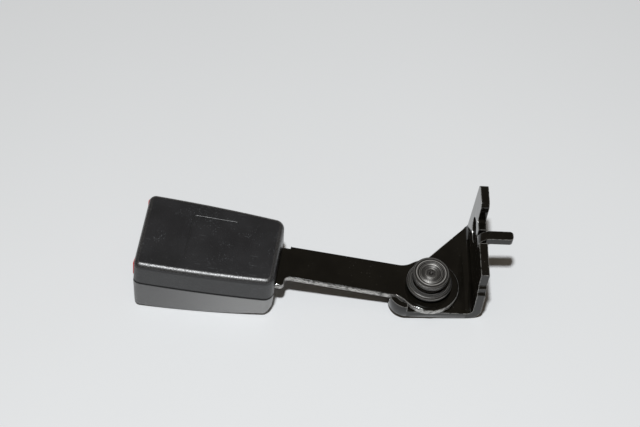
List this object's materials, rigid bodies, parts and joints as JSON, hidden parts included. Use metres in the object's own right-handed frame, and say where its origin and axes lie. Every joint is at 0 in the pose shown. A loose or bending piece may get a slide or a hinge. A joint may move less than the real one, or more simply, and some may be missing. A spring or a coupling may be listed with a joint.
{
  "type": "seat belt buckle",
  "caption": "Push-button seat belt buckle head on a pivoting steel arm with a headed stud and a bent bolt-on bracket.",
  "frame": {"origin": "centre of the seat bolt hole on the outer face of the bracket flange", "axes": "+X along the arm from the buckle head towards the bracket at rest, +Z along the pivot stud towards its head, +Y to the left of +X; metres"},
  "size_m": [0.1755, 0.065, 0.0611],
  "materials": {
    "arm_paint": "gloss black stove enamel on pressed steel",
    "bracket_paint": "semi-gloss black electrocoat, worn on the cut edges",
    "stud_black": "black passivated turned steel with lathe marks",
    "spring_steel": "plain spring steel",
    "bush_polymer": "plain dark bearing polymer",
    "zinc_steel": "bright zinc plate",
    "latch_steel": "hardened steel, oiled",
    "ejector_plastic": "natural acetal",
    "button_red": "moulded red, softly polished",
    "head_plastic": "fine leather-grained black moulding",
    "guide_plastic": "smooth black moulding"
  },
  "bodies": {
    "bracket_body": {"bracket": "bracket_paint", "pivot_stud": "stud_black", "stud_collar": "stud_black", "spacer_washer": "bush_polymer", "wave_washer": "spring_steel"},
    "arm_body": {"arm_plate": "arm_paint", "pivot_bush": "bush_polymer", "frame_rivets": "zinc_steel", "buckle_frame": "zinc_steel", "frame_bridge": "zinc_steel", "latch_pivot_pin": "zinc_steel", "latch_spring": "spring_steel", "ejector_spring": "spring_steel", "button_springs": "spring_steel", "housing_upper": "head_plastic", "housing_lower": "head_plastic", "tongue_guide": "guide_plastic"},
    "latch_body": {"latch_plate": "latch_steel"},
    "button_body": {"release_button": "button_red"},
    "ejector_body": {"ejector": "ejector_plastic"}
  },
  "joints": [
    {"name": "arm_pivot", "type": "hinge", "parent": "bracket_body", "child": "arm_body", "pos_m": [-0.02135, -0.02573, -0.0178], "axis": [0, 0, 1], "range_deg": [-60, 0]},
    {"name": "button_press", "type": "slide", "parent": "arm_body", "child": "button_body", "axis": [1, 0, 0], "range_m": [0, 0.005], "stiffness_N_per_m": 1200, "springref_m": -0.004, "deforming": ["button_springs"]},
    {"name": "latch_lift", "type": "hinge", "parent": "arm_body", "child": "latch_body", "pos_m": [-0.11535, -0.02923, -0.0113], "axis": [0, 1, 0], "range_deg": [0, 9.7], "deforming": ["latch_spring"]},
    {"name": "ejector_slide", "type": "slide", "parent": "arm_body", "child": "ejector_body", "axis": [1, 0, 0], "range_m": [0, 0.012], "stiffness_N_per_m": 250, "springref_m": -0.012, "deforming": ["ejector_spring"]}
  ],
  "couplings": [
    {"joint": "latch_lift", "follows": "button_press", "rad_per_m": 33.51}
  ]
}
